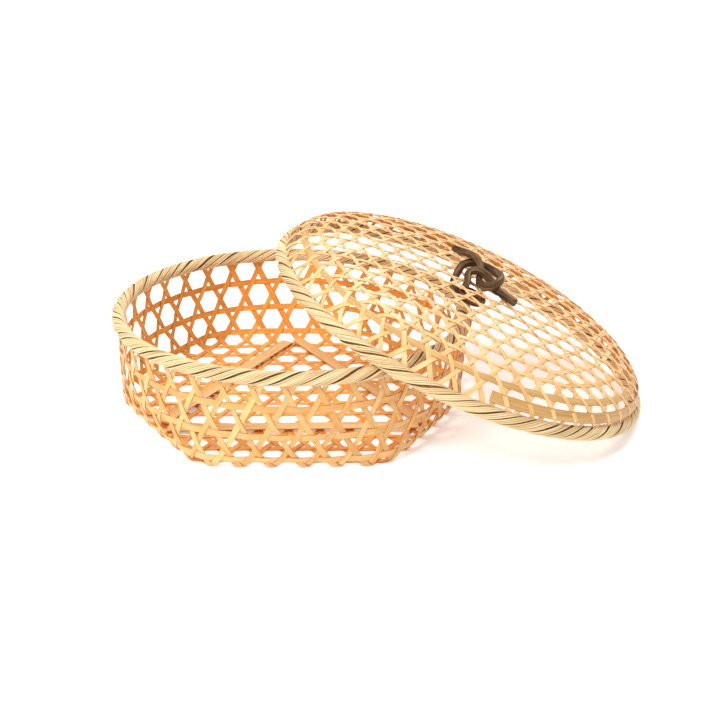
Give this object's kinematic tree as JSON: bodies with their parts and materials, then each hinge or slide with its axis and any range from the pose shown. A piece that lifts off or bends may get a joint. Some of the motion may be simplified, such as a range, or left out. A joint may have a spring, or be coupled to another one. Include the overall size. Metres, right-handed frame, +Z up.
{
  "type": "lidded woven basket",
  "caption": "Low open-weave bamboo basket with a hexagonal floor and round wrapped rim, its domed woven lid with a knotted leather lace leaning on it, for serving or keeping food",
  "frame": {"origin": "centre of the underside of the basket's hexagonal floor", "axes": "+Z up through the basket's mouth; -Y out of one flat side of the floor; +X towards the side on which the leaning lid stands"},
  "size_m": [0.3429, 0.257, 0.1131],
  "materials": {
    "basket_strips": "satin split bamboo",
    "brace_bamboo": "satin flat bamboo",
    "rim_bamboo": "satin bent bamboo",
    "rim_splints": "satin splints with fine lines",
    "lid_strips": "satin split bamboo",
    "lid_band_bamboo": "satin bent bamboo",
    "lace_leather": "matt dark leather"
  },
  "bodies": {
    "basket": {"basket_weave": "basket_strips", "lower_wall_hoop": "basket_strips", "middle_wall_hoop": "basket_strips", "upper_wall_hoop": "basket_strips", "front_floor_brace": "brace_bamboo", "left_floor_brace": "brace_bamboo", "right_floor_brace": "brace_bamboo", "rim_hoop_inner": "rim_bamboo", "rim_hoop_outer": "rim_bamboo", "rim_wrapping": "rim_splints"},
    "lid": {"lid_weave": "lid_strips", "lid_wide_band": "lid_band_bamboo", "lid_shoulder_hoop": "lid_band_bamboo", "lid_rim_hoop_inner": "rim_bamboo", "lid_rim_hoop_outer": "rim_bamboo", "lid_rim_wrapping": "rim_splints", "knob_lace": "lace_leather"}
  },
  "joints": [
    {"name": "lid_lift", "type": "slide", "parent": "basket", "child": "lid", "axis": [0, 0, 1], "range_m": [0, 0.12]}
  ]
}
